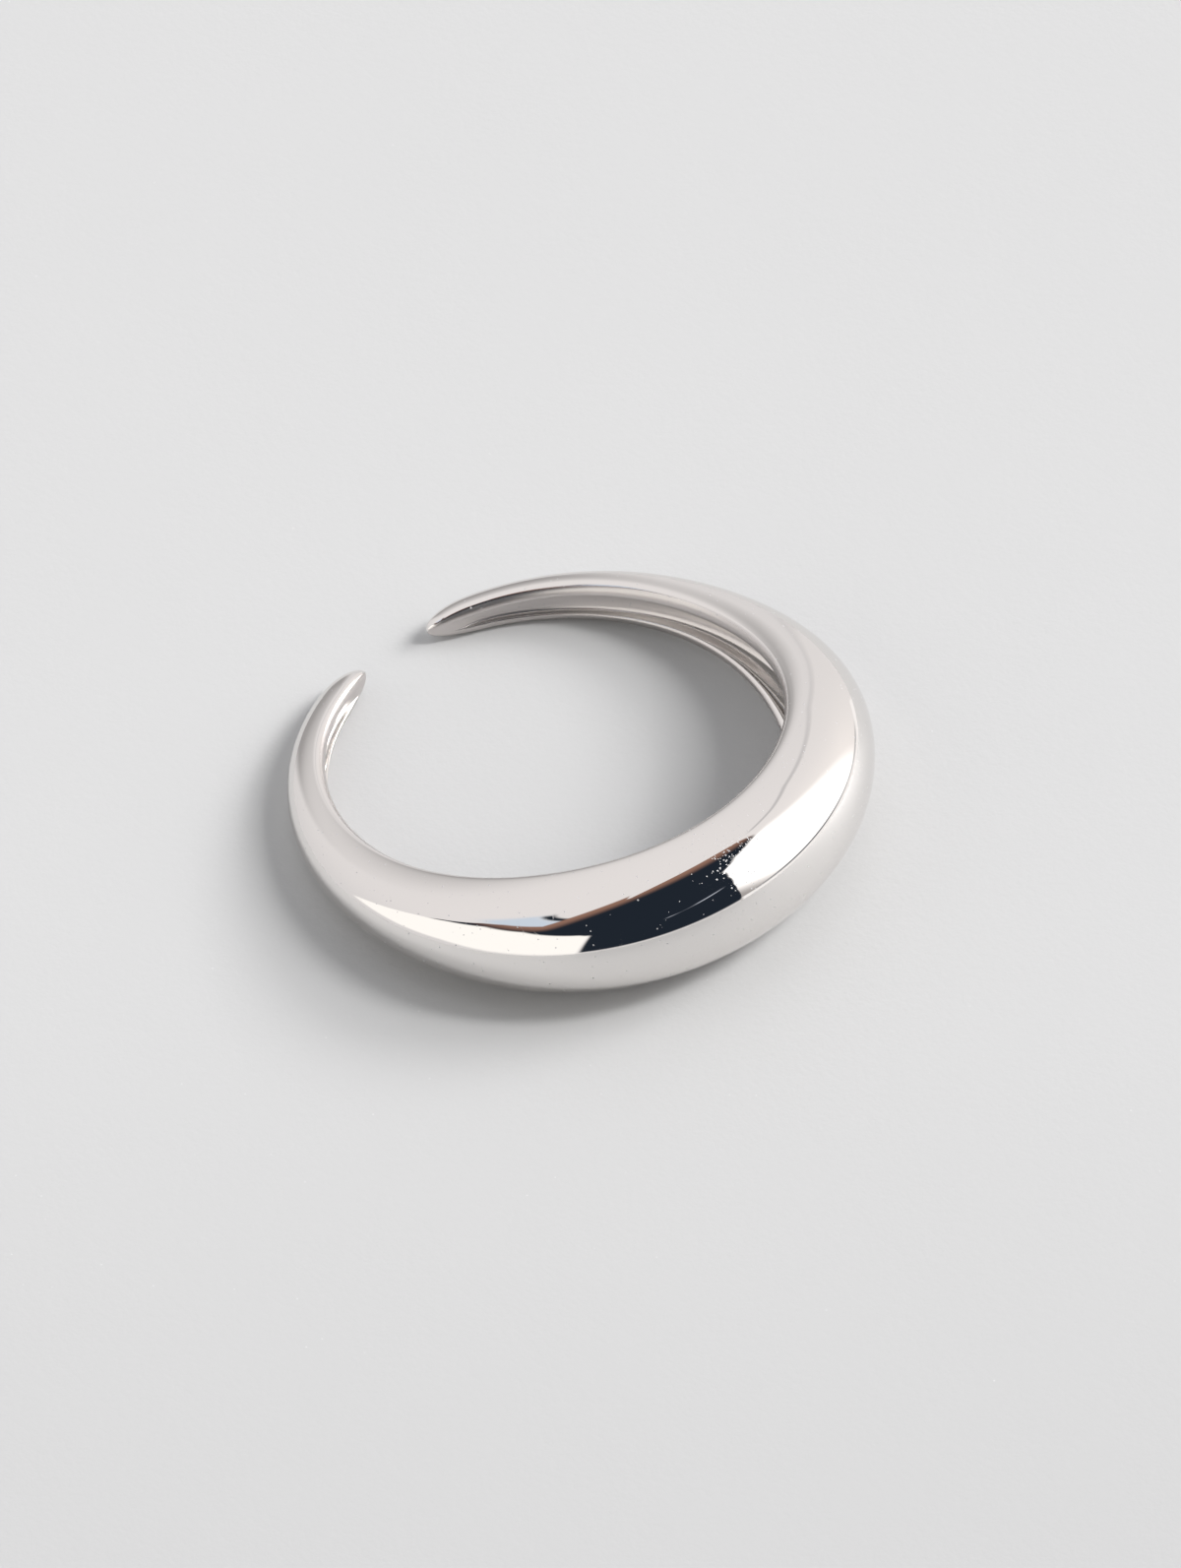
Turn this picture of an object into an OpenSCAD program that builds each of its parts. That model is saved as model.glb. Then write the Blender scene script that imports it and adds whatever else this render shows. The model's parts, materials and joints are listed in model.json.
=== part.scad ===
// Open dome ring lying on its side, as it rests by itself.
// Units are millimetres. The floor is z = 0, the dome faces -Y and the gap between the tips faces +Y.
// Angles round the finger are counted from the front, the middle of the dome.

/* [Finger hole] */
// Inside diameter
bore_d = 17; // [14:0.1:22]
// Radius of the softened edges between the band and the hole
edge_r = 0.35; // [0.1:0.05:0.5]

/* [Band width, edge to edge] */
// At the front
front_w = 5.0; // [4.5:0.1:6.5]
// At the shoulder, 45 degrees round
shoulder_w = 4.3; // [3.8:0.1:5.5]
// At the side, 90 degrees round
side_w = 2.45; // [2:0.05:3.5]
// At the arm, 130 degrees round
arm_w = 1.8; // [1.4:0.05:2.4]
// At the tip, 165 degrees round
tip_w = 1.2; // [1:0.05:2]

/* [Band thickness, hole to crest] */
// At the front
front_t = 3.3; // [2.6:0.1:4]
// At the shoulder
shoulder_t = 3.2; // [2.4:0.1:3.8]
// At the side
side_t = 2.25; // [1.8:0.05:2.8]
// At the arm
arm_t = 1.45; // [1.2:0.05:2]
// At the tip
tip_t = 1.1; // [0.9:0.05:1.6]

/* [Section] */
// Fullness of the domed section: 2 is an ellipse, more is squarer
fullness = 2.35; // [2:0.05:3]

/* [Tips] */
// Angle of the gap between the two tips
gap_angle = 20; // [12:1:40]
// Length over which each tip narrows to its rounded end
tip_round = 2; // [0.4:0.1:2.5]

/* [Hollow behind the dome] */
// Metal left between the hollow and the crest
wall_t = 1.3; // [1.1:0.1:1.8]
// Width of the lip on each side of the hollow
lip_w = 0.5; // [0.4:0.05:0.8]
// Angle from the front to each end of the hollow
hollow_angle = 62; // [40:1:70]
// Angle over which each end of the hollow is rounded
hollow_round = 12; // [5:1:20]

/* [Fineness] */
// Angle between neighbouring sections
step_angle = 4; // [3:1:6]
// Steps over the dome of each section
dome_steps = 16; // [12:2:20]

/* [Hidden] */

bore_r = bore_d / 2;
tip_angle = 180 - gap_angle / 2;
cap_angle = tip_round / (bore_r + tip_t / 2) * 180 / PI;

// How far the loft reaches into the finger hole, so that the hole trims it cleanly
overcut = 0.15;

// Height over the finger hole's wall at which each tip ends, so that the hole's wall meets no flat end
tip_centre = 0.4 * tip_t;

// Least swelling of the inner side, which keeps its points off one straight line
bulge = 0.05;

// Steps round one softened edge, over one rounded tip and across the hollow
edge_steps = 4;
cap_steps = 9;
hollow_steps = 8;

// One row for each named place: angle round the finger, half width, thickness
stations = [
    [0, front_w / 2, front_t],
    [45, shoulder_w / 2, shoulder_t],
    [90, side_w / 2, side_t],
    [130, arm_w / 2, arm_t],
    [165, tip_w / 2, tip_t]
];
width_column = 1;
thickness_column = 2;

function product(values, i = 0) = i == len(values) ? 1 : values[i] * product(values, i + 1);
function total(values, i = 0) = i == len(values) ? 0 : values[i] + total(values, i + 1);

// Share that station k has in a smooth curve through all stations, at angle a
function share(k, a) = product([
    for (j = [0 : len(stations) - 1])
        if (j != k) (cos(a) - cos(stations[j][0])) / (cos(stations[k][0]) - cos(stations[j][0]))
]);

function smooth(a, column) = total([for (k = [0 : len(stations) - 1]) stations[k][column] * share(k, a)]);

function half_width(a) = smooth(a, width_column);
function thickness(a) = smooth(a, thickness_column);

// Falls from 1 to 0 as a quarter circle over the last stretch before an end
function round_off(a, end, stretch) =
    let (into = max(0, abs(a) - (end - stretch)) / stretch) sqrt(max(0, 1 - into * into));

function signed_power(value, power) = sign(value) * pow(abs(value), power);

// The section's points are [height over the finger hole's wall, place across the band]
// Arch of the dome, from the upper edge over the crest to the lower edge
function arch(half_w, thick) = [
    for (i = [0 : dome_steps])
        let (phi = 90 - 180 * i / dome_steps)
            [edge_r + (thick - edge_r) * pow(max(0, cos(phi)), 2 / fullness),
             half_w * signed_power(sin(phi), 2 / fullness)]
];

// Softened edge on one side, from the arch almost down to the finger hole
edge_turn = 72;
function soft_edge(half_w, side) = [
    for (i = [1 : edge_steps])
        let (turn = edge_turn * i / edge_steps)
            [edge_r * (1 - sin(turn)), side * (half_w - edge_r * (1 - cos(turn)))]
];

// Inner side, a little inside the finger hole's wall, and scooped out beyond it behind the dome
function scoop(half_w, thick, a) =
    let (
        deep = max(bulge, (thick - wall_t + overcut) * round_off(a, hollow_angle, hollow_round)),
        half = max(half_w - lip_w, half_w / 2)
    )
    [for (i = [0 : hollow_steps])
        let (phi = -90 + 180 * i / hollow_steps)
            [deep * cos(phi) - overcut, half * sin(phi)]];

function reversed(list) = [for (i = [len(list) - 1 : -1 : 0]) list[i]];

function section(a) =
    let (
        half_w = half_width(a),
        thick = thickness(a),
        size = round_off(a, tip_angle, cap_angle),
        outline = concat(
            reversed(soft_edge(half_w, 1)),
            arch(half_w, thick),
            soft_edge(half_w, -1),
            scoop(half_w, thick, a)
        )
    )
    [for (point = outline)
        let (r = bore_r + tip_centre + size * (point[0] - tip_centre))
            [r * sin(a), -r * cos(a), size * point[1]]];

// Angles of the sections, closer together over the rounded tips
last_plain = tip_angle - cap_angle;
plain_steps = ceil(last_plain / step_angle);
half_angles = concat(
    [for (i = [0 : plain_steps]) last_plain * i / plain_steps],
    [for (i = [1 : cap_steps - 1]) last_plain + cap_angle * sin(90 * i / cap_steps)]
);
ring_angles = concat([for (a = reversed(half_angles)) -a], [for (i = [1 : len(half_angles) - 1]) half_angles[i]]);
ring_sections = [for (a = ring_angles) section(a)];

// Resting attitude: the band tips towards the gap until its lower edge meets the floor at dome and tips
function foot(a) = [-(bore_r + edge_r) * cos(a), -half_width(a)];
front_foot = foot(0);
rest_tilt = -atan(min([
    for (a = [90 : 1 : floor(last_plain)])
        (foot(a)[1] - front_foot[1]) / (foot(a)[0] - front_foot[0])
]));
tilted = [
    for (outline = ring_sections)
        for (point = outline)
            [point[1] * cos(rest_tilt) - point[2] * sin(rest_tilt), point[1] * sin(rest_tilt) + point[2] * cos(rest_tilt)]
];
tilted_y = [for (point = tilted) point[0]];
floor_drop = -min([for (point = tilted) point[1]]);
centre_shift = -(min(tilted_y) + max(tilted_y)) / 2;

// Skin through closed outlines of the same number of points, with a cap at each end
module loft(outlines) {
    n = len(outlines[0]);
    last = len(outlines) - 1;
    crest = edge_steps + dome_steps / 2;
    points = [for (outline = outlines) for (point = outline) point];
    skin = [
        for (k = [0 : last - 1])
            for (i = [0 : n - 1])
                let (
                    here = k * n + i,
                    beside = k * n + (i + 1) % n,
                    beyond = here + n,
                    across = beside + n
                )
                each [[here, across, beside], [here, beyond, across]]
    ];
    first_cap = [[for (i = [0 : n - 1]) (i + crest) % n]];
    last_cap = [[for (i = [n : -1 : 1]) last * n + (i + crest) % n]];
    polyhedron(points = points, faces = concat(skin, first_cap, last_cap));
}

module finger_hole() {
    cylinder(r = bore_r, h = 4 * front_w, center = true, $fn = 180);
}

module band() {
    color("silver")
        translate([0, centre_shift, floor_drop])
            rotate([rest_tilt, 0, 0])
                difference() {
                    loft(ring_sections);
                    finger_hole();
                }
}

band();
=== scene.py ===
import json
import math

import bmesh
import bpy
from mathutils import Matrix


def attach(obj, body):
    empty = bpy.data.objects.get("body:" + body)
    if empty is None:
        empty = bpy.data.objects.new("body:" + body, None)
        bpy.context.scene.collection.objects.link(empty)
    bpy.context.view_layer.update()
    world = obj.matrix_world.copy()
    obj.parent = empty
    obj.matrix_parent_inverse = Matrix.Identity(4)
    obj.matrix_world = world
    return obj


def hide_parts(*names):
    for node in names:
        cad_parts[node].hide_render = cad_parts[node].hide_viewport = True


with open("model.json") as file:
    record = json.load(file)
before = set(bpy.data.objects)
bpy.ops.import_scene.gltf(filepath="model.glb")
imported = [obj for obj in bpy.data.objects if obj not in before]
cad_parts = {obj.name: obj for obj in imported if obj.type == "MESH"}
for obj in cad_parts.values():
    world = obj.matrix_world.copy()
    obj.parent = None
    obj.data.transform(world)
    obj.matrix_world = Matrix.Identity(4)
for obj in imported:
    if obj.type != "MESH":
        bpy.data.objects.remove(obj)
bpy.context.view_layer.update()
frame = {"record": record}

mm = 0.001
fingerBore = frame["record"]["mounts"][0]


def deselectAll():
    if bpy.context.mode != "OBJECT":
        bpy.ops.object.mode_set(mode="OBJECT")
    bpy.ops.object.select_all(action="DESELECT")


def applyAll(piece):
    # every modifier in its order
    for modifier in list(piece.modifiers):
        bpy.ops.object.modifier_apply(modifier=modifier.name)


band = {
    "boreRadius": fingerBore["dims"]["r_mm"] * mm,
    "place": fingerBore["pos_m"],  # middle of the finger hole
    "tilt": math.degrees(math.asin(fingerBore["axis"][1])),  # lean of the finger hole as the ring lies
    # angle from the front, half width, thickness, radius of the softened edges beside the finger hole,
    # depth and half width of the hollow
    "columns": ("angle", "halfWidth", "thickness", "edge", "hollowDepth", "hollowHalf"),
    "rows": (
        (0, 2.5 * mm, 3.3 * mm, 0.3 * mm, 2.0 * mm, 2.0 * mm),
        (45, 2.15 * mm, 3.2 * mm, 0.32 * mm, 1.9 * mm, 1.65 * mm),
        (90, 1.225 * mm, 2.25 * mm, 0.35 * mm, 0.85 * mm, 0.66 * mm),
        (130, 0.9 * mm, 1.45 * mm, 0.38 * mm, 0.36 * mm, 0.44 * mm),
        (165, 0.6 * mm, 1.1 * mm, 0.3 * mm, 0.22 * mm, 0.2 * mm),
    ),
    "fullness": 0.053,  # how far the section swells past an ellipse on its diagonals
    "hollowSquareness": 0.5,  # 1 is an ellipse, less is squarer
    "tipAngle": 170,
    "tipRound": 2 * mm,  # length over which a tip narrows to its end
    "tipCentre": 0.44 * mm,  # height of the tip's end over the finger hole's wall
    "hollowEnd": 162,
    "hollowRound": 10,  # angle over which the hollow runs out
    "stepAngle": 3.3,  # most that two neighbouring sections are apart
    "archSteps": 20,
    "edgeSteps": 4,
    "hollowSteps": 14,
    "tipSteps": 9,
    "mergeDistance": 0.001 * mm,
    "smoothing": 2,  # subdivision levels
}


def smooth(angle, name):
    # one smooth curve through a column's values, even about the front
    column = band["columns"].index(name)
    here = math.cos(math.radians(angle))
    knots = [math.cos(math.radians(row[0])) for row in band["rows"]]
    value = 0
    for k, row in enumerate(band["rows"]):
        share = 1
        for j, knot in enumerate(knots):
            if j != k:
                share *= (here - knot) / (knots[k] - knot)
        value += share * row[column]
    return value


def hollowShare(angle):
    # falls from 1 to 0 as a quarter circle where the hollow runs out
    into = max(0, angle - (band["hollowEnd"] - band["hollowRound"])) / band["hollowRound"]
    return math.sqrt(max(0, 1 - into * into))


def measures(angle):
    # sizes of the section at an angle from the front
    sizes = {name: smooth(angle, name) for name in band["columns"][1:]}
    sizes["hollowDepth"] *= hollowShare(angle)
    return sizes


def frontSection():
    # the section in the middle of the dome: (row kind, y, z), with y 0 at the finger hole's wall and below
    # 0 further out
    sizes = measures(0)
    halfWidth, thickness, edge = sizes["halfWidth"], sizes["thickness"], sizes["edge"]
    points = []
    for i in range(band["archSteps"] + 1):
        turn = math.pi / 2 - math.pi * i / band["archSteps"]
        swell = 1 + band["fullness"] * math.sin(2 * turn) ** 2
        y = -edge - (thickness - edge) * swell * math.cos(turn)
        points.append(("arch", y, halfWidth * swell * math.sin(turn)))
    turns = [math.pi / 2 * i / band["edgeSteps"] for i in range(1, band["edgeSteps"] + 1)]
    softEdge = [(-edge * (1 - math.sin(turn)), halfWidth - edge * (1 - math.cos(turn))) for turn in turns]
    points += [("low", y, -z) for y, z in softEdge]
    for i in range(band["hollowSteps"] + 1):
        turn = -math.pi / 2 + math.pi * i / band["hollowSteps"]
        deep = abs(math.cos(turn)) ** band["hollowSquareness"]
        sideways = math.copysign(abs(math.sin(turn)) ** band["hollowSquareness"], turn)
        points.append(("hollow", -sizes["hollowDepth"] * deep, sizes["hollowHalf"] * sideways))
    points += [("high", y, z) for y, z in reversed(softEdge)]
    return points


rowKinds = ("arch", "low", "hollow", "high")


def selectRows(piece, kinds, station):
    # picks one station's points of the given kinds
    mesh = bmesh.from_edit_mesh(piece.data)
    kindLayer, stationLayer = mesh.verts.layers.int["rowKind"], mesh.verts.layers.int["station"]
    for vert in mesh.verts:
        vert.select = vert[stationLayer] == station and rowKinds[vert[kindLayer]] in kinds
    mesh.select_flush(True)
    bmesh.update_edit_mesh(piece.data)


def resizeRows(piece, kinds, station, centre, scale):
    selectRows(piece, kinds, station)
    bpy.ops.transform.resize(value=scale, center_override=centre)


def moveRows(piece, kinds, station, move):
    selectRows(piece, kinds, station)
    bpy.ops.transform.translate(value=move)


def extrudeSection(piece, station, step):
    # the section before is carried on by a step along the arm, and its new points stay selected
    selectRows(piece, rowKinds, station - 1)
    bpy.ops.mesh.extrude_region_move(TRANSFORM_OT_translate={"value": (step, 0, 0)})
    mesh = bmesh.from_edit_mesh(piece.data)
    stationLayer = mesh.verts.layers.int["station"]
    for vert in mesh.verts:
        if vert.select:
            vert[stationLayer] = station
    bmesh.update_edit_mesh(piece.data)


def startBand():
    # a round of points, drawn into the shape of the first section
    deselectAll()
    section = frontSection()
    bpy.ops.mesh.primitive_circle_add(
        vertices=len(section), radius=measures(0)["halfWidth"], fill_type="NOTHING",
        rotation=(0, math.pi / 2, 0),
    )
    piece = bpy.context.object
    piece.name = "bandSilver"
    bpy.ops.object.transform_apply(location=True, rotation=True, scale=True)
    bpy.ops.object.mode_set(mode="EDIT")
    bpy.ops.mesh.select_mode(type="VERT")
    mesh = bmesh.from_edit_mesh(piece.data)
    kindLayer = mesh.verts.layers.int.new("rowKind")
    mesh.verts.layers.int.new("station")
    for vert, (kind, y, z) in zip(mesh.verts, section):
        vert.co = (0, y, z)
        vert[kindLayer] = rowKinds.index(kind)
    bmesh.update_edit_mesh(piece.data)
    return piece


def shapeSection(piece, station, x, before, now):
    # both softened edges first, then the arch between them, then the hollow
    edgeRatio = now["edge"] / before["edge"]
    cornerBefore = before["halfWidth"] - before["edge"]
    cornerNow = now["halfWidth"] - now["edge"]
    for kind, side in (("low", -1), ("high", 1)):
        resizeRows(piece, [kind], station, (x, 0, side * cornerBefore), (1, edgeRatio, edgeRatio))
        moveRows(piece, [kind], station, (0, 0, side * (cornerNow - cornerBefore)))
    rise = (now["thickness"] - now["edge"]) / (before["thickness"] - before["edge"])
    spread = now["halfWidth"] / before["halfWidth"]
    resizeRows(piece, ["arch"], station, (x, -before["edge"], 0), (1, rise, spread))
    moveRows(piece, ["arch"], station, (0, before["edge"] - now["edge"], 0))
    deeper = now["hollowDepth"] / before["hollowDepth"] if before["hollowDepth"] > 0 else 1
    wider = now["hollowHalf"] / before["hollowHalf"]
    resizeRows(piece, ["hollow"], station, (x, 0, 0), (1, deeper, wider))


def roundTip(piece, station, start):
    # the section shrinks towards a point inside it, while the hollow runs out
    centre, steps = band["tipCentre"], band["tipSteps"]
    end = band["boreRadius"] * math.radians(band["tipAngle"])
    angle = math.degrees(start / band["boreRadius"])
    fullRise = smooth(angle, "thickness") - centre
    openBefore = hollowShare(angle)
    size, x = 1, start
    for i in range(1, steps):
        turn = math.pi / 2 * i / steps
        step = start + (end - start) * math.sin(turn) - x
        x += step
        angle = math.degrees(x / band["boreRadius"])
        extrudeSection(piece, station + i, step)
        ratio = math.cos(turn) * (smooth(angle, "thickness") - centre) / fullRise / size
        size *= ratio
        resizeRows(piece, rowKinds, station + i, (x, -centre, 0), (1, ratio, ratio))
        stillOpen = hollowShare(angle)
        if openBefore > 0:
            wall = -centre * (1 - size)
            resizeRows(piece, ["hollow"], station + i, (x, wall, 0), (1, stillOpen / openBefore, 1))
        openBefore = stillOpen
    selectRows(piece, rowKinds, station + steps - 1)
    bpy.ops.mesh.extrude_region_move(TRANSFORM_OT_translate={"value": (end - x, 0, 0)})
    bpy.ops.mesh.merge(type="CENTER")


def bendBand(piece):
    # the straight arm gets its other half and a smooth skin, and is bent round the finger
    bpy.ops.object.mode_set(mode="OBJECT")
    mirror = piece.modifiers.new("otherHalf", "MIRROR")
    mirror.merge_threshold = band["mergeDistance"]
    finer = piece.modifiers.new("finer", "SUBSURF")
    finer.levels = finer.render_levels = band["smoothing"]
    applyAll(piece)
    places = [vert.co.x for vert in piece.data.vertices]
    bend = piece.modifiers.new("roundFinger", "SIMPLE_DEFORM")
    bend.deform_method = "BEND"
    bend.deform_axis = "Z"
    bend.angle = (max(places) - min(places)) / band["boreRadius"]
    applyAll(piece)
    bpy.ops.object.mode_set(mode="EDIT")
    bpy.ops.mesh.select_all(action="SELECT")
    bpy.ops.mesh.normals_make_consistent(inside=False)
    bpy.ops.transform.translate(value=(0, -band["boreRadius"], 0))
    bpy.ops.object.mode_set(mode="OBJECT")
    for name in ("rowKind", "station"):
        piece.data.attributes.remove(piece.data.attributes[name])


def layDown(piece):
    piece.rotation_euler = (math.radians(-band["tilt"]), 0, 0)
    piece.location = band["place"]
    bpy.ops.object.transform_apply(location=True, rotation=True, scale=True)
    bpy.ops.object.shade_smooth()


def makeBand():
    # one straight arm from the front to its tip, then the whole ring
    piece = startBand()
    tipThickness = smooth(band["rows"][-1][0], "thickness")
    lastFull = band["tipAngle"] - math.degrees(band["tipRound"] / (band["boreRadius"] + tipThickness / 2))
    steps = math.ceil(lastFull / band["stepAngle"])
    step = band["boreRadius"] * math.radians(lastFull) / steps
    before = measures(0)
    for station in range(1, steps + 1):
        now = measures(lastFull * station / steps)
        extrudeSection(piece, station, step)
        shapeSection(piece, station, step * station, before, now)
        before = now
    roundTip(piece, steps, step * steps)
    bendBand(piece)
    layDown(piece)
    return piece


bandSilver = makeBand()
print("band made,", len(bandSilver.data.polygons), "faces")


def newMaterial(name):
    material = bpy.data.materials.new(name)
    material.use_nodes = True
    return material, material.node_tree, material.node_tree.nodes["Principled BSDF"]


def newGroup(name, inputs, outputs):
    # a shared effect with named sockets
    group = bpy.data.node_groups.new(name, "ShaderNodeTree")
    for socket, kind in inputs:
        group.interface.new_socket(socket, in_out="INPUT", socket_type=kind)
    for socket, kind in outputs:
        group.interface.new_socket(socket, in_out="OUTPUT", socket_type=kind)
    return group, group.nodes.new("NodeGroupInput"), group.nodes.new("NodeGroupOutput")


def addNode(kind, **settings):
    # into the node tree at work
    node = tree.nodes.new(kind)
    for key, value in settings.items():
        setattr(node, key, value)
    return node


def link(source, target):
    tree.links.new(source, target)


def fill(socket, value):
    if isinstance(value, bpy.types.NodeSocket):
        link(value, socket)
    else:
        socket.default_value = value


def useGroup(group, vector=None):
    node = addNode("ShaderNodeGroup")
    node.node_tree = group
    if vector is not None:
        link(vector, node.inputs["Vector"])
    return node.outputs


def calculate(operation, *values, clamp=False):
    node = addNode("ShaderNodeMath", operation=operation, use_clamp=clamp)
    for socket, value in zip(node.inputs, values):
        fill(socket, value)
    return node.outputs[0]


def both(*masks):
    product = masks[0]
    for mask in masks[1:]:
        product = calculate("MULTIPLY", product, mask)
    return product


def either(*masks):
    most = masks[0]
    for mask in masks[1:]:
        most = calculate("MAXIMUM", most, mask)
    return most


def vectorWork(operation, first, second=None):
    node = addNode("ShaderNodeVectorMath", operation=operation)
    fill(node.inputs[0], first)
    if second is not None:
        fill(node.inputs[1], second)
    return node.outputs["Value" if operation in ("DOT_PRODUCT", "DISTANCE") else "Vector"]


def ramp(value, start, end, low=0, high=1):
    # smooth change from low to high while value goes from start to end
    node = addNode("ShaderNodeMapRange", interpolation_type="SMOOTHSTEP")
    link(value, node.inputs["Value"])
    for name, number in (("From Min", start), ("From Max", end), ("To Min", low), ("To Max", high)):
        node.inputs[name].default_value = number
    return node.outputs[0]


def blendColours(mask, under, over, blend="MIX"):
    # a Mix node has sockets for values, directions and colours in turn, so these are told by number
    node = addNode("ShaderNodeMix", data_type="RGBA", blend_type=blend)
    fill(node.inputs["Factor"], mask)
    fill(node.inputs[6], under)
    fill(node.inputs[7], over)
    return node.outputs[2]


def blendValues(mask, under, over):
    node = addNode("ShaderNodeMix", data_type="FLOAT")
    fill(node.inputs["Factor"], mask)
    fill(node.inputs[2], under)
    fill(node.inputs[3], over)
    return node.outputs[0]


def mapped(vector, scale=(1, 1, 1), rotation=(0, 0, 0), shift=(0, 0, 0)):
    node = addNode("ShaderNodeMapping")
    link(vector, node.inputs["Vector"])
    node.inputs["Scale"].default_value = scale
    node.inputs["Rotation"].default_value = [math.radians(turn) for turn in rotation]
    node.inputs["Location"].default_value = shift
    return node.outputs[0]


def noise(vector, scale, detail=2, rough=0.5):
    node = addNode("ShaderNodeTexNoise")
    link(vector, node.inputs["Vector"])
    for name, number in (("Scale", scale), ("Detail", detail), ("Roughness", rough)):
        node.inputs[name].default_value = number
    return node.outputs["Fac"]


def specks(vector, cells, size, share, dimensions="3D", least=0.4, most=1.2, softness=0.5):
    # round dots in a share of the cells, between the least and the most times the size
    node = addNode("ShaderNodeTexVoronoi", voronoi_dimensions=dimensions)
    link(vector, node.inputs["Vector"])
    node.inputs["Scale"].default_value = cells
    lot = addNode("ShaderNodeSeparateColor")
    link(node.outputs["Color"], lot.inputs[0])
    reach = both(blendValues(lot.outputs[1], least, most), size)
    dot = calculate("SUBTRACT", 1, calculate("DIVIDE", node.outputs["Distance"], reach), clamp=True)
    return both(ramp(dot, 0, softness), calculate("GREATER_THAN", share, lot.outputs[0]))


def hairlines(vector, scale, thin, patchScale, patches):
    # fine lines where a noise passes its middle, which come and go in patches
    waves = noise(vector, scale, detail=1, rough=0.4)
    fromMiddle = calculate("ABSOLUTE", calculate("SUBTRACT", waves, 0.5))
    return both(ramp(fromMiddle, 0, thin, 1, 0), ramp(noise(vector, patchScale, detail=1), *patches))


silver = {
    "colour": (0.8, 0.775, 0.755, 1),
    "roughness": 0.018,
    # the inner side's darker colour is painted shade; only its roughness is a real satin finish
    "innerShadedColour": (0.6, 0.565, 0.55, 1),
    "innerRoughness": 0.33,
    "innerFacing": (-0.35, -0.75),  # the inner side begins and is full where faces turn this far inwards
    "dustColour": (0.46, 0.46, 0.47, 1),
    "dustRoughness": 0.9,
    "dustPlace": (-0.65 * mm, -9.15 * mm, 4.7 * mm),  # where most of the dust lies
    "dustReach": (0.3 * mm, 1.5 * mm),  # it thins out between these distances from there
    "dustShare": (0.8, 0.025),  # share of the cells that hold a grain, there and elsewhere
    "dustCells": 13000,  # in a metre
    "dustSize": 0.45,  # of a cell
    # stretch, turn and shift of the lines, their scale and that of the patches they come in
    "scratches": (
        ((1, 0.12, 1), (10, 0, 35), (0, 0, 0), 2600, 700),
        ((0.1, 1, 1), (0, 15, -20), (3, 1, 2), 3100, 800),
    ),
    "scratchWidth": 0.012,
    "scratchPatches": (0.6, 0.68),
    "scratchRoughness": 0.14,
    "cloudScale": 900,
    "cloudRoughness": 0.012,
}

# the side turned towards the finger, less polished than the dome, and painted darker there as shade
tree, groupIn, groupOut = newGroup("innerSide", [], [("Mask", "NodeSocketFloat")])
coords = addNode("ShaderNodeTexCoord")
upright = (band["tilt"], 0, 0)
fromHole = mapped(coords.outputs["Object"], shift=[-part for part in band["place"]])
outwards = vectorWork("NORMALIZE", vectorWork("MULTIPLY", mapped(fromHole, rotation=upright), (1, 1, 0)))
facing = vectorWork("DOT_PRODUCT", outwards, mapped(coords.outputs["Normal"], rotation=upright))
link(ramp(facing, *silver["innerFacing"]), groupOut.inputs["Mask"])
innerSide = tree

# dust, fine scratches and a faint clouding of a ring that has been handled
tree, groupIn, groupOut = newGroup(
    "handling", [("Vector", "NodeSocketVector")],
    [("Dust", "NodeSocketFloat"), ("Scratch", "NodeSocketFloat"), ("Cloud", "NodeSocketFloat")],
)
place = groupIn.outputs["Vector"]
share = ramp(vectorWork("DISTANCE", place, silver["dustPlace"]), *silver["dustReach"], *silver["dustShare"])
link(specks(place, silver["dustCells"], silver["dustSize"], share), groupOut.inputs["Dust"])
thin, patches = silver["scratchWidth"], silver["scratchPatches"]
lines = [
    hairlines(mapped(place, stretch, turn, shift), scale, thin, patchScale, patches)
    for stretch, turn, shift, scale, patchScale in silver["scratches"]
]
link(either(*lines), groupOut.inputs["Scratch"])
link(noise(place, silver["cloudScale"], detail=3), groupOut.inputs["Cloud"])
handling = tree

silverMaterial, tree, shader = newMaterial("polishedSilver")
coords = addNode("ShaderNodeTexCoord")
inner = useGroup(innerSide)["Mask"]
wear = useGroup(handling, coords.outputs["Object"])
# the inner side is painted darker: painted shade
metalColour = blendColours(inner, silver["colour"], silver["innerShadedColour"])
link(blendColours(wear["Dust"], metalColour, silver["dustColour"]), shader.inputs["Base Color"])
link(calculate("SUBTRACT", 1, wear["Dust"]), shader.inputs["Metallic"])
polish = blendValues(inner, silver["roughness"], silver["innerRoughness"])
scratch = both(wear["Scratch"], calculate("SUBTRACT", 1, inner))
polish = calculate("MULTIPLY_ADD", scratch, silver["scratchRoughness"], polish)
polish = calculate("MULTIPLY_ADD", wear["Cloud"], silver["cloudRoughness"], polish)
link(blendValues(wear["Dust"], polish, silver["dustRoughness"]), shader.inputs["Roughness"])
bandSilver.data.materials.append(silverMaterial)

floor = {
    "size": 6,
    "colour": (0.538, 0.538, 0.539, 1),
    "roughness": 0.6,
    "gloss": 0.3,
    "away": (0.677, 0.736, 0),  # the direction on the floor that runs up the picture
    "shadeSpan": (-42 * mm, -4 * mm),  # the painted shade changes between these places along it
    "shade": (0.93, 1),
    "blotchScale": 55,
    "blotches": 0.016,  # full range of their tone
    "sparkPlace": -17 * mm,  # place along the same direction with the most painted glints
    "sparkReach": (3 * mm, 13 * mm),
    "sparkShare": (0.05, 0.004),  # share of the cells that hold one, there and elsewhere
    "sparkCells": 1500,  # in a metre
    "sparkSize": 0.055,  # of a cell
    "sparkColour": (0.8, 0.8, 0.8, 1),
    "sparkStrength": 0.35,
    "fineGrain": 3300,
    "coarseGrain": 900,
    "coarseShare": 0.8,  # height of the coarse grain against the fine one
    "grainStrength": 0.5,
    "grainHeight": 0.02 * mm,
}

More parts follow.
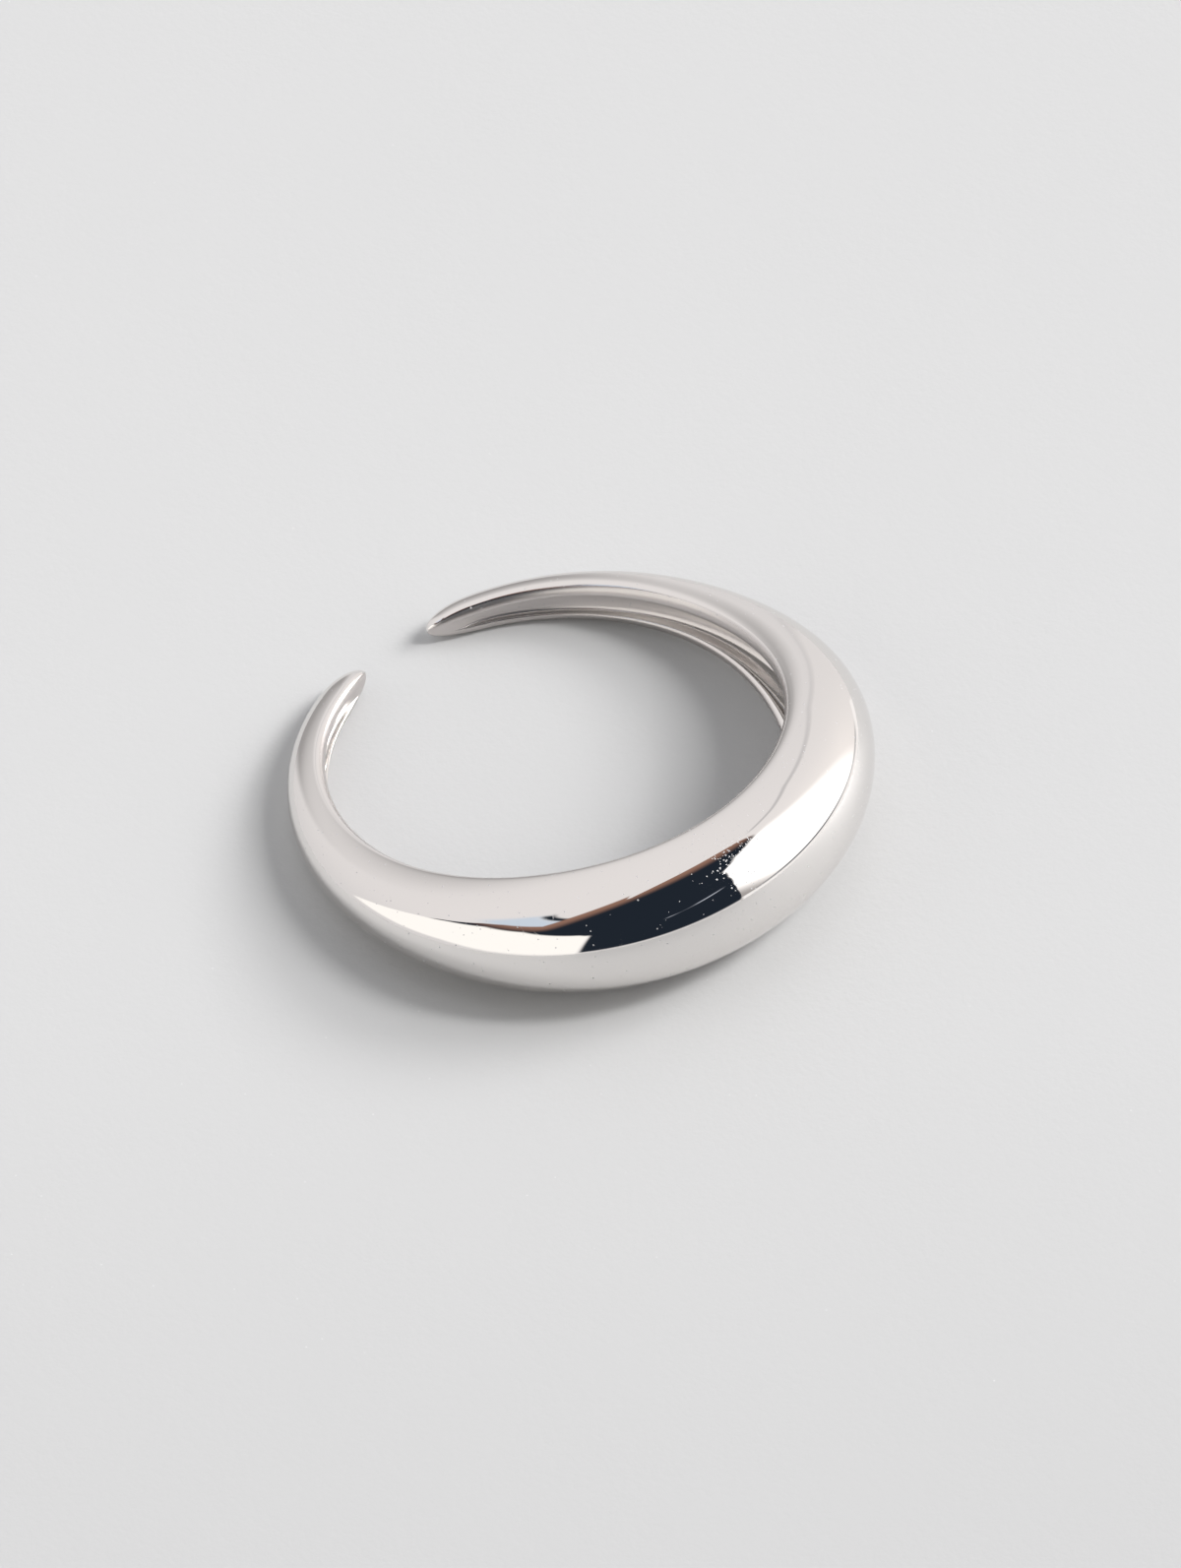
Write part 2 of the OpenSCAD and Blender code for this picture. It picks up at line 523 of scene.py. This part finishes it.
deselectAll()
bpy.ops.mesh.primitive_plane_add(size=floor["size"])
floorSheet = bpy.context.object
floorSheet.name = "floorSheet"

# fine grain, bright grains whose glints are painted, and painted shade that darkens the sheet slowly
# towards the camera
tree, groupIn, groupOut = newGroup(
    "paperGrain", [("Vector", "NodeSocketVector")],
    [("Shade", "NodeSocketFloat"), ("Spark", "NodeSocketFloat"), ("Normal", "NodeSocketVector")],
)
place = groupIn.outputs["Vector"]
along = vectorWork("DOT_PRODUCT", place, floor["away"])
blotch = both(calculate("SUBTRACT", noise(place, floor["blotchScale"]), 0.5), floor["blotches"])
# painted shade: the sheet grows darker towards the camera
shade = ramp(along, *floor["shadeSpan"], *floor["shade"])
link(calculate("ADD", shade, blotch), groupOut.inputs["Shade"])
fromSparks = calculate("ABSOLUTE", calculate("SUBTRACT", along, floor["sparkPlace"]))
share = ramp(fromSparks, *floor["sparkReach"], *floor["sparkShare"])
link(specks(place, floor["sparkCells"], floor["sparkSize"], share, "2D"), groupOut.inputs["Spark"])
coarse = calculate("MULTIPLY", noise(place, floor["coarseGrain"]), floor["coarseShare"])
grain = addNode("ShaderNodeBump")
grain.inputs["Strength"].default_value = floor["grainStrength"]
grain.inputs["Distance"].default_value = floor["grainHeight"]
link(calculate("ADD", noise(place, floor["fineGrain"], rough=0.6), coarse), grain.inputs["Height"])
link(grain.outputs["Normal"], groupOut.inputs["Normal"])
paperGrain = tree

floorMaterial, tree, shader = newMaterial("paleFloor")
coords = addNode("ShaderNodeTexCoord")
paper = useGroup(paperGrain, coords.outputs["Object"])
shaded = blendColours(1, floor["colour"], paper["Shade"], blend="MULTIPLY")
# grains of glitter, whose glints are painted into the colour as bright specks
sparkling = both(paper["Spark"], floor["sparkStrength"])
link(blendColours(sparkling, shaded, floor["sparkColour"]), shader.inputs["Base Color"])
link(paper["Normal"], shader.inputs["Normal"])
shader.inputs["Roughness"].default_value = floor["roughness"]
shader.inputs["Specular IOR Level"].default_value = floor["gloss"]
floorSheet.data.materials.append(floorMaterial)
print("materials made")


view = {
    "azimuth": -42.6,
    "elevation": 46.11,
    "roll": 0.636,
    "distance": 600 * mm,
    "aim": band["place"],
    "aimPixel": (566.07, 770.43),  # where the picture shows that point
    "pixelsPerMm": 27.682,
    "picture": (1200, 1593),
    "sensor": 36,
    "clip": (10 * mm, 50),
}

# colours of the room round the ring
studio = {
    "pale": (0.95, 0.925, 0.925, 1),  # bounce from walls and ceiling
    "paleLow": (0.84, 0.825, 0.83, 1),  # the same near the horizon
    "farFoot": (0.42, 0.41, 0.41, 1),  # foot of the far wall
    "streak": (0.72, 0.82, 0.94, 1),  # cooler light over the left window
    "leftWindow": (1.26, 1.24, 1.2, 1),
    "glow": (1.24, 1.18, 1.14, 1),  # wall beside the right window
    "rightWindow": (1.9, 1.87, 1.85, 1),
    "rightFoot": (0.46, 0.435, 0.425, 1),  # its lower near corner
    "upperPanel": (27, 26.8, 26.6, 1),  # brighter parts of the right window
    "lowerPanel": (17, 16.9, 16.8, 1),
    "underWindow": (1.15, 1.13, 1.12, 1),
    "sill": (0.14, 0.15, 0.17, 1),
    "dark": (0.017, 0.024, 0.036, 1),  # unlit side of the room
    "streakInDark": (0.6, 0.65, 0.75, 1),
    "warmDark": (0.34, 0.19, 0.14, 1),  # straight above
    "fill": (0.9, 0.91, 0.94, 1),  # the walls' light on what doesn't mirror them
    "backdrop": (0.745, 0.745, 0.74, 1),  # what the camera sees beyond the floor
}

# Places in the room are degrees seen from the ring: side is 0 towards the camera and grows to its right,
# height is above the floor. First the start, end and softness of each shape from side to side.
sides = {
    "farWall": (-176, -145, 5),
    "streak": (-96, -34, 8),
    "overStreak": (-92, -34, 8),
    "leftWindow": (-95, -0.8, 1.2),
    "darkBand": (-92, 3, 1),
    "darkColumn": (0, 90, 1),
    "streakInDark": (33, 60, 2),
    "underWindow": (59.5, 150, 1),
    "sill": (63, 140, 5),
    "upperPanel": (86, 100, 2),
    "lowerPanel": (100, 128, 2),
    "plainLeftWindow": (-95, -0.8, 1),
    "plainRightWindow": (60, 128, 2),
    "plainDarkBand": (-92, 3, 1),
}

# the same from low to high
heights = {
    "streak": (58, 72, 3),
    "overStreak": (71.5, 74.5, 1),
    "streakInDark": (24, 25.4, 0.5),
    "sill": (3.7, 6.3, 0.8),
    "upperPanel": (38, 60, 2),
    "lowerPanel": (22, 38, 2),
    "plainLeftWindow": (6, 46, 3),
    "plainRightWindow": (8, 56, 3),
    "plainDarkBand": (37, 62, 3),
}

# top or foot of a shape, as heights at places from left to right
borders = {
    "leftWindowTop": ((-98, 30), (-94, 42), (-88, 48), (-73, 54), (-43, 53), (-6, 41), (-2, 38)),
    "leftWindowFoot": ((-98, 9), (-74, 8), (-56, 9), (-36, 3), (-15, 1), (2, 0)),
    "darkBandTop": ((-92, 47), (-84, 57), (-74, 60.5), (-41, 64), (-20, 80), (0, 90)),
    "rightWindowTop": (
        (57, -10), (59.7, 5), (60.4, 22), (63.4, 35.6), (71, 50.5), (83, 61), (109, 64), (131, 61),
        (140, 57), (150, 56),
    ),
    "darkCeilingFoot": (
        (40, 30), (120, 50), (130, 60), (140, 60), (148, 62), (153, 67), (157, 80), (160, 88),
    ),
}

# where the wall's far corner is at each height, and how wide and soft its line shows
farCorner = (
    (-5, 168), (0, 171), (13, 174.4), (25, 176.5), (32, 172.3), (38.5, 168.7), (44.6, 165.6), (51.6, 157),
    (60, 150), (66, 152), (75, 155),
)
cornerLine = (-1.25, 1.25, 0.95)

# where a shape or a tone begins to change and where the change ends, then its strength at both when it
# doesn't grow from 0 to 1. Those with a border's name are counted from that border, and glowTone and
# glowEnd from the far corner.
fades = {
    "paleLow": (0, 60),
    "farWallTop": (10, 44, 1, 0),
    "leftWindowTop": (-1.5, 1.5, 1, 0),
    "leftWindowFoot": (-3, 4),
    "rightWindowTop": (-1.2, 1.2, 1, 0),
    "rightWindowEnd": (117, 134, 1, 0),
    "rightWindowCorner": (88, 122),
    "underWindowTop": (4.5, 5.5, 1, 0),
    "sillStart": (62, 80, 0.45, 1),
    "sillEnd": (92, 122, 1, 0.5),
    "glowStart": (58, 61),
    "glowTone": (-70, 2, 1, 0.1),
    "glowEnd": (-0.5, 0.5, 1, 0),
    "cornerTone": (10, 60, 0.1, 0.4),
    "cornerTop": (57, 60, 1, 0),
    "darkSide": (-0.08, -0.05),
    "darkColumnFoot": (1, 4),
    "darkCeilingStart": (50, 52),
    "darkCeilingFoot": (-0.8, 0.8),
    "darkBandTop": (-1.2, 1.2, 1, 0),
    "darkBandFoot": (35, 38),
    "warmSide": (0.1, -0.04),
    "warmFoot": (52, 62),
    "streakPatches": (0.4, 0.6),
    "plainCeilingStart": (50, 56),
}

# for slanting edges, the share of the height that is added to the side, or of the side to the height
slants = {
    "rightWindowEnd": -0.16,
    "rightWindowCorner": 1.33,
    "streakInDark": -0.25,
}

darkTowards = (0.8, -0.6, 0)  # direction of the unlit side, where the camera stands towards -Y
streakPatchScale = 5


def between(value, start, end, softness):
    rising = ramp(value, start - softness, start + softness)
    return both(rising, ramp(value, end - softness, end + softness, 1, 0))


def drawnLine(points, along, span=360, reach=180):
    # straight stretches through points, whose places and values lie within span and reach round 0
    node = addNode("ShaderNodeFloatCurve")
    link(calculate("MULTIPLY_ADD", along, 1 / span, 0.5), node.inputs["Value"])
    curve = node.mapping.curves[0]
    spots = [(first / span + 0.5, second / reach + 0.5) for first, second in points]
    curve.points[0].location, curve.points[1].location = spots[0], spots[-1]
    for spot in spots[1:-1]:
        curve.points.new(*spot)
    for point in curve.points:
        point.handle_type = "VECTOR"
    node.mapping.extend = "HORIZONTAL"
    node.mapping.update()
    return calculate("MULTIPLY_ADD", node.outputs[0], reach, -reach / 2)


def fade(value, name):
    return ramp(value, *fades[name])


def border(name):
    return fade(calculate("SUBTRACT", height, drawnLine(borders[name], side)), name)


def across(name):
    return between(side, *sides[name])


def patch(name):
    return both(across(name), between(height, *heights[name]))


def layered(colour, *layers):
    # each mask and its colour over what stands before it
    for mask, paint in layers:
        colour = blendColours(mask, colour, paint)
    return colour


world = bpy.data.worlds.new("studio")
bpy.context.scene.world = world
world.use_nodes = True
tree = world.node_tree
tree.nodes.clear()

coords = addNode("ShaderNodeTexCoord")
direction = mapped(coords.outputs["Generated"], rotation=(0, 0, -view["azimuth"]))
parts = addNode("ShaderNodeSeparateXYZ")
link(direction, parts.inputs[0])
toCamera = calculate("MULTIPLY", parts.outputs["Y"], -1)
side = calculate("DEGREES", calculate("ARCTAN2", parts.outputs["X"], toCamera))
height = calculate("DEGREES", calculate("ARCSINE", parts.outputs["Z"]))

# windows, the sill and the wall's far corner
leftMask = both(across("leftWindow"), border("leftWindowTop"), border("leftWindowFoot"))
windowEnd = calculate("MULTIPLY_ADD", height, slants["rightWindowEnd"], side)
rightMask = both(border("rightWindowTop"), fade(windowEnd, "rightWindowEnd"))
underMask = both(across("underWindow"), fade(height, "underWindowTop"))
sillMask = both(patch("sill"), fade(side, "sillStart"), fade(side, "sillEnd"))
pastCorner = calculate("SUBTRACT", side, drawnLine(farCorner, height, span=180, reach=360))
glowMask = both(fade(side, "glowStart"), fade(pastCorner, "glowTone"), fade(pastCorner, "glowEnd"))
cornerMask = both(between(pastCorner, *cornerLine), fade(height, "cornerTone"), fade(height, "cornerTop"))

# the unlit side of the room, which reaches over the ring
towardsDark = vectorWork("DOT_PRODUCT", direction, darkTowards)
darkSide = fade(towardsDark, "darkSide")
darkColumn = both(across("darkColumn"), fade(height, "darkColumnFoot"))
darkCeiling = both(darkSide, fade(height, "darkCeilingStart"), border("darkCeilingFoot"))
darkBand = both(across("darkBand"), border("darkBandTop"), fade(height, "darkBandFoot"))
warmMask = both(fade(towardsDark, "warmSide"), fade(height, "warmFoot"))
streakHeight = calculate("MULTIPLY_ADD", side, slants["streakInDark"], height)
paleStreak = both(
    across("streakInDark"), between(streakHeight, *heights["streakInDark"]),
    fade(noise(direction, streakPatchScale, detail=0), "streakPatches"),
)

windowRise = calculate("MULTIPLY_ADD", side, slants["rightWindowCorner"], height)
windowTone = blendColours(fade(windowRise, "rightWindowCorner"), studio["rightFoot"], studio["rightWindow"])
panels = [(patch(name), studio[name]) for name in ("upperPanel", "lowerPanel")]
paleTone = blendColours(fade(height, "paleLow"), studio["paleLow"], studio["pale"])
mirroredColour = layered(
    paleTone,
    (both(across("farWall"), fade(height, "farWallTop")), studio["farFoot"]),
    (patch("streak"), studio["streak"]),
    (patch("overStreak"), studio["dark"]),
    (glowMask, studio["glow"]),
    (
        either(darkColumn, darkCeiling, darkBand),
        layered(studio["dark"], (warmMask, studio["warmDark"]), (paleStreak, studio["streakInDark"])),
    ),
    (leftMask, studio["leftWindow"]),
    (rightMask, layered(windowTone, *panels)),
    (underMask, studio["underWindow"]),
    (either(sillMask, cornerMask), studio["sill"]),
)
mirrored = addNode("ShaderNodeBackground")
link(mirroredColour, mirrored.inputs["Color"])

# the same room with plainer shapes, which lights what doesn't mirror it and renders much faster
plainCeiling = both(darkSide, fade(height, "plainCeilingStart"))
plainColour = layered(
    studio["fill"],
    (either(patch("plainDarkBand"), darkColumn, plainCeiling), studio["dark"]),
    (patch("plainLeftWindow"), studio["leftWindow"]),
    (patch("plainRightWindow"), studio["rightWindow"]),
    *panels,
)
rays = addNode("ShaderNodeLightPath")
lighting = addNode("ShaderNodeBackground")
link(blendColours(rays.outputs["Is Camera Ray"], plainColour, studio["backdrop"]), lighting.inputs["Color"])
room = addNode("ShaderNodeMixShader")
link(rays.outputs["Is Glossy Ray"], room.inputs[0])
link(lighting.outputs[0], room.inputs[1])
link(mirrored.outputs[0], room.inputs[2])
output = addNode("ShaderNodeOutputWorld")
link(room.outputs[0], output.inputs["Surface"])
bpy.context.scene.view_settings.view_transform = "Standard"
print("studio lit")


def makeCamera():
    camera = bpy.data.cameras.new("camera")
    holder = bpy.data.objects.new("camera", camera)
    bpy.context.scene.collection.objects.link(holder)
    turn, lift = math.radians(view["azimuth"]), math.radians(view["elevation"])
    back = (math.sin(turn) * math.cos(lift), -math.cos(turn) * math.cos(lift), math.sin(lift))
    holder.location = [aim + view["distance"] * part for aim, part in zip(view["aim"], back)]
    holder.rotation_euler = (math.pi / 2 - lift, 0, turn)
    holder.rotation_euler.rotate_axis("Z", math.radians(-view["roll"]))
    wide, tall = view["picture"]
    camera.sensor_width = view["sensor"]
    camera.lens = view["pixelsPerMm"] * view["distance"] / mm * view["sensor"] / tall
    camera.shift_x = (wide / 2 - view["aimPixel"][0]) / tall
    camera.shift_y = -(tall / 2 - view["aimPixel"][1]) / tall
    camera.clip_start, camera.clip_end = view["clip"]
    bpy.context.scene.camera = holder


makeCamera()

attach(bandSilver, "root")
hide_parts("band")
